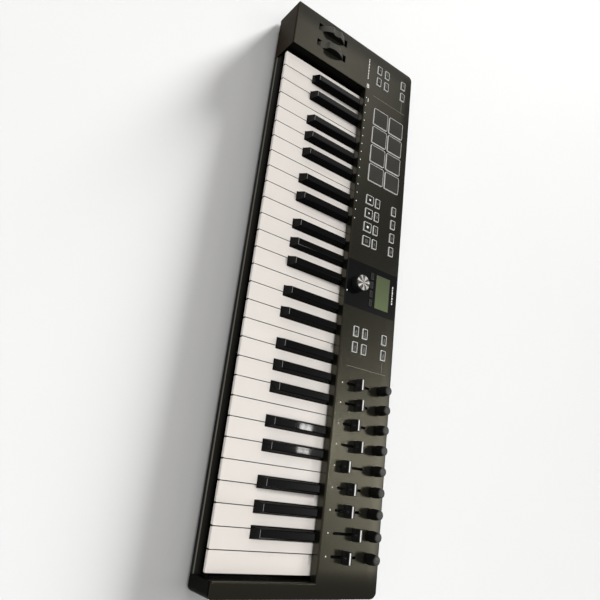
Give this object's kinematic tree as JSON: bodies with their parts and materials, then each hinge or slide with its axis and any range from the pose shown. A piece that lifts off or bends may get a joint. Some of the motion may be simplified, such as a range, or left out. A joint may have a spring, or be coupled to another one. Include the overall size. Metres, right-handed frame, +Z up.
{
  "type": "midi keyboard",
  "caption": "Slim desktop MIDI keyboard with sprung keys, pitch and modulation wheels, pads, buttons, faders, endless knobs and a display on a flat panel.",
  "frame": {"origin": "centre of the footprint, on the surface the feet stand on", "axes": "+X towards the high notes, +Y from the player to the rear panel, +Z up"},
  "size_m": [0.786, 0.235, 0.069],
  "materials": {
    "case_shell": "satin moulded plastic, dark olive grey",
    "tray": "matt black",
    "window": "polished black",
    "lcd": "grey-green display glass",
    "board": "green board with parts",
    "steel": "zinc-plated",
    "rubber_black": "soft black",
    "felt": "red felt",
    "screw_black": "blackened",
    "socket_black": "black",
    "frame_grey": "grey",
    "wheel_rubber": "dark with a soft rim",
    "knob_black": "black satin",
    "encoder_silver": "radially turned",
    "pad_rubber": "dark grey silicone with a lit rim",
    "button_white": "white translucent with black tops",
    "key_white": "polished warm white",
    "key_black": "polished black"
  },
  "bodies": {
    "case": {"control_panel": "case_shell", "case_walls": "case_shell", "wheel_block": "case_shell", "end_cheek": "case_shell", "key_slip": "case_shell", "case_posts": "tray", "bottom_plate": "tray", "display_window": "window", "lcd_module": "lcd", "circuit_boards": "board", "key_frame": "steel", "key_guides": "steel", "key_pivot_rod": "steel", "key_contact_strip": "rubber_black", "key_felt": "felt", "return_springs": "steel", "rubber_feet": "rubber_black", "case_screws": "screw_black", "data_sockets": "socket_black", "pedal_jacks": "socket_black", "control_bodies": "steel", "wheel_bracket": "frame_grey"},
    "oct1_keys_cegb": {"oct1_keys_cegb": "key_white"},
    "oct1_keys_dfa": {"oct1_keys_dfa": "key_white"},
    "oct1_sharps": {"oct1_sharps": "key_black"},
    "oct2_keys_cegb": {"oct2_keys_cegb": "key_white"},
    "oct2_keys_dfa": {"oct2_keys_dfa": "key_white"},
    "oct2_sharps": {"oct2_sharps": "key_black"},
    "oct3_keys_cegb": {"oct3_keys_cegb": "key_white"},
    "oct3_keys_dfa": {"oct3_keys_dfa": "key_white"},
    "oct3_sharps": {"oct3_sharps": "key_black"},
    "oct4_keys_cegbc": {"oct4_keys_cegbc": "key_white"},
    "oct4_keys_dfa": {"oct4_keys_dfa": "key_white"},
    "oct4_sharps": {"oct4_sharps": "key_black"},
    "pitch_wheel": {"pitch_wheel": "wheel_rubber"},
    "mod_wheel": {"mod_wheel": "wheel_rubber"},
    "pads": {"pads": "pad_rubber"},
    "transport_buttons": {"transport_buttons": "button_white"},
    "bank_buttons": {"bank_buttons": "button_white"},
    "context_buttons": {"context_buttons": "knob_black"},
    "encoder": {"encoder_knob": "knob_black", "encoder_cap": "encoder_silver"},
    "fader_1": {"fader_1": "knob_black"},
    "fader_2": {"fader_2": "knob_black"},
    "fader_3": {"fader_3": "knob_black"},
    "fader_4": {"fader_4": "knob_black"},
    "fader_5": {"fader_5": "knob_black"},
    "fader_6": {"fader_6": "knob_black"},
    "fader_7": {"fader_7": "knob_black"},
    "fader_8": {"fader_8": "knob_black"},
    "fader_9": {"fader_9": "knob_black"},
    "knob_1": {"knob_1": "knob_black"},
    "knob_2": {"knob_2": "knob_black"},
    "knob_3": {"knob_3": "knob_black"},
    "knob_4": {"knob_4": "knob_black"},
    "knob_5": {"knob_5": "knob_black"},
    "knob_6": {"knob_6": "knob_black"},
    "knob_7": {"knob_7": "knob_black"},
    "knob_8": {"knob_8": "knob_black"},
    "knob_9": {"knob_9": "knob_black"}
  },
  "joints": [
    {"name": "oct1_keys_cegb_press", "type": "hinge", "parent": "case", "child": "oct1_keys_cegb", "pos_m": [0, 0.05425, 0.0275], "axis": [1, 0, 0], "range_deg": [0, 3.3], "stiffness_Nm_per_rad": 1.6, "springref_deg": -10},
    {"name": "oct1_keys_dfa_press", "type": "hinge", "parent": "case", "child": "oct1_keys_dfa", "pos_m": [0, 0.05425, 0.0275], "axis": [1, 0, 0], "range_deg": [0, 3.3], "stiffness_Nm_per_rad": 1.2, "springref_deg": -10},
    {"name": "oct1_sharps_press", "type": "hinge", "parent": "case", "child": "oct1_sharps", "pos_m": [0, 0.05425, 0.0275], "axis": [1, 0, 0], "range_deg": [0, 3.3], "stiffness_Nm_per_rad": 2, "springref_deg": -10},
    {"name": "oct2_keys_cegb_press", "type": "hinge", "parent": "case", "child": "oct2_keys_cegb", "pos_m": [0, 0.05425, 0.0275], "axis": [1, 0, 0], "range_deg": [0, 3.3], "stiffness_Nm_per_rad": 1.6, "springref_deg": -10},
    {"name": "oct2_keys_dfa_press", "type": "hinge", "parent": "case", "child": "oct2_keys_dfa", "pos_m": [0, 0.05425, 0.0275], "axis": [1, 0, 0], "range_deg": [0, 3.3], "stiffness_Nm_per_rad": 1.2, "springref_deg": -10},
    {"name": "oct2_sharps_press", "type": "hinge", "parent": "case", "child": "oct2_sharps", "pos_m": [0, 0.05425, 0.0275], "axis": [1, 0, 0], "range_deg": [0, 3.3], "stiffness_Nm_per_rad": 2, "springref_deg": -10},
    {"name": "oct3_keys_cegb_press", "type": "hinge", "parent": "case", "child": "oct3_keys_cegb", "pos_m": [0, 0.05425, 0.0275], "axis": [1, 0, 0], "range_deg": [0, 3.3], "stiffness_Nm_per_rad": 1.6, "springref_deg": -10},
    {"name": "oct3_keys_dfa_press", "type": "hinge", "parent": "case", "child": "oct3_keys_dfa", "pos_m": [0, 0.05425, 0.0275], "axis": [1, 0, 0], "range_deg": [0, 3.3], "stiffness_Nm_per_rad": 1.2, "springref_deg": -10},
    {"name": "oct3_sharps_press", "type": "hinge", "parent": "case", "child": "oct3_sharps", "pos_m": [0, 0.05425, 0.0275], "axis": [1, 0, 0], "range_deg": [0, 3.3], "stiffness_Nm_per_rad": 2, "springref_deg": -10},
    {"name": "oct4_keys_cegbc_press", "type": "hinge", "parent": "case", "child": "oct4_keys_cegbc", "pos_m": [0, 0.05425, 0.0275], "axis": [1, 0, 0], "range_deg": [0, 3.3], "stiffness_Nm_per_rad": 2, "springref_deg": -10},
    {"name": "oct4_keys_dfa_press", "type": "hinge", "parent": "case", "child": "oct4_keys_dfa", "pos_m": [0, 0.05425, 0.0275], "axis": [1, 0, 0], "range_deg": [0, 3.3], "stiffness_Nm_per_rad": 1.2, "springref_deg": -10},
    {"name": "oct4_sharps_press", "type": "hinge", "parent": "case", "child": "oct4_sharps", "pos_m": [0, 0.05425, 0.0275], "axis": [1, 0, 0], "range_deg": [0, 3.3], "stiffness_Nm_per_rad": 2, "springref_deg": -10},
    {"name": "pitch_bend", "type": "hinge", "parent": "case", "child": "pitch_wheel", "pos_m": [-0.37165, -0.04975, 0.0332], "axis": [1, 0, 0], "range_deg": [-33, 33], "stiffness_Nm_per_rad": 0.05},
    {"name": "modulation", "type": "hinge", "parent": "case", "child": "mod_wheel", "pos_m": [-0.34345, -0.04975, 0.0332], "axis": [-1, 0, 0], "range_deg": [0, 72]},
    {"name": "pads_press", "type": "slide", "parent": "case", "child": "pads", "axis": [0, 0, -1], "range_m": [0, 0.0006], "stiffness_N_per_m": 6000, "springref_m": -0.0008},
    {"name": "transport_buttons_press", "type": "slide", "parent": "case", "child": "transport_buttons", "axis": [0, 0, -1], "range_m": [0, 0.0009], "stiffness_N_per_m": 2400, "springref_m": -0.0008},
    {"name": "bank_buttons_press", "type": "slide", "parent": "case", "child": "bank_buttons", "axis": [0, 0, -1], "range_m": [0, 0.0009], "stiffness_N_per_m": 2400, "springref_m": -0.0008},
    {"name": "context_buttons_press", "type": "slide", "parent": "case", "child": "context_buttons", "axis": [0, 0, -1], "range_m": [0, 0.0006], "stiffness_N_per_m": 1200, "springref_m": -0.0008},
    {"name": "encoder_turn", "type": "hinge", "parent": "case", "child": "encoder", "pos_m": [0, 0.04175, 0.051], "axis": [0, 0, 1], "continuous": true},
    {"name": "fader_1_slide", "type": "slide", "parent": "case", "child": "fader_1", "axis": [0, 1, 0], "range_m": [-0.012, 0.018]},
    {"name": "fader_2_slide", "type": "slide", "parent": "case", "child": "fader_2", "axis": [0, 1, 0], "range_m": [-0.015, 0.015]},
    {"name": "fader_3_slide", "type": "slide", "parent": "case", "child": "fader_3", "axis": [0, 1, 0], "range_m": [-0.011, 0.019]},
    {"name": "fader_4_slide", "type": "slide", "parent": "case", "child": "fader_4", "axis": [0, 1, 0], "range_m": [-0.02, 0.01]},
    {"name": "fader_5_slide", "type": "slide", "parent": "case", "child": "fader_5", "axis": [0, 1, 0], "range_m": [-0.002, 0.028]},
    {"name": "fader_6_slide", "type": "slide", "parent": "case", "child": "fader_6", "axis": [0, 1, 0], "range_m": [-0.014, 0.016]},
    {"name": "fader_7_slide", "type": "slide", "parent": "case", "child": "fader_7", "axis": [0, 1, 0], "range_m": [-0.013, 0.017]},
    {"name": "fader_8_slide", "type": "slide", "parent": "case", "child": "fader_8", "axis": [0, 1, 0], "range_m": [-0.029, 0.001]},
    {"name": "fader_9_slide", "type": "slide", "parent": "case", "child": "fader_9", "axis": [0, 1, 0], "range_m": [-0.015, 0.015]},
    {"name": "knob_1_turn", "type": "hinge", "parent": "case", "child": "knob_1", "pos_m": [0.13875, 0.09725, 0.051], "axis": [0, 0, 1], "continuous": true},
    {"name": "knob_2_turn", "type": "hinge", "parent": "case", "child": "knob_2", "pos_m": [0.16475, 0.09725, 0.051], "axis": [0, 0, 1], "continuous": true},
    {"name": "knob_3_turn", "type": "hinge", "parent": "case", "child": "knob_3", "pos_m": [0.19075, 0.09725, 0.051], "axis": [0, 0, 1], "continuous": true},
    {"name": "knob_4_turn", "type": "hinge", "parent": "case", "child": "knob_4", "pos_m": [0.21675, 0.09725, 0.051], "axis": [0, 0, 1], "continuous": true},
    {"name": "knob_5_turn", "type": "hinge", "parent": "case", "child": "knob_5", "pos_m": [0.24275, 0.09725, 0.051], "axis": [0, 0, 1], "continuous": true},
    {"name": "knob_6_turn", "type": "hinge", "parent": "case", "child": "knob_6", "pos_m": [0.26875, 0.09725, 0.051], "axis": [0, 0, 1], "continuous": true},
    {"name": "knob_7_turn", "type": "hinge", "parent": "case", "child": "knob_7", "pos_m": [0.29475, 0.09725, 0.051], "axis": [0, 0, 1], "continuous": true},
    {"name": "knob_8_turn", "type": "hinge", "parent": "case", "child": "knob_8", "pos_m": [0.32075, 0.09725, 0.051], "axis": [0, 0, 1], "continuous": true},
    {"name": "knob_9_turn", "type": "hinge", "parent": "case", "child": "knob_9", "pos_m": [0.34675, 0.09725, 0.051], "axis": [0, 0, 1], "continuous": true}
  ]
}
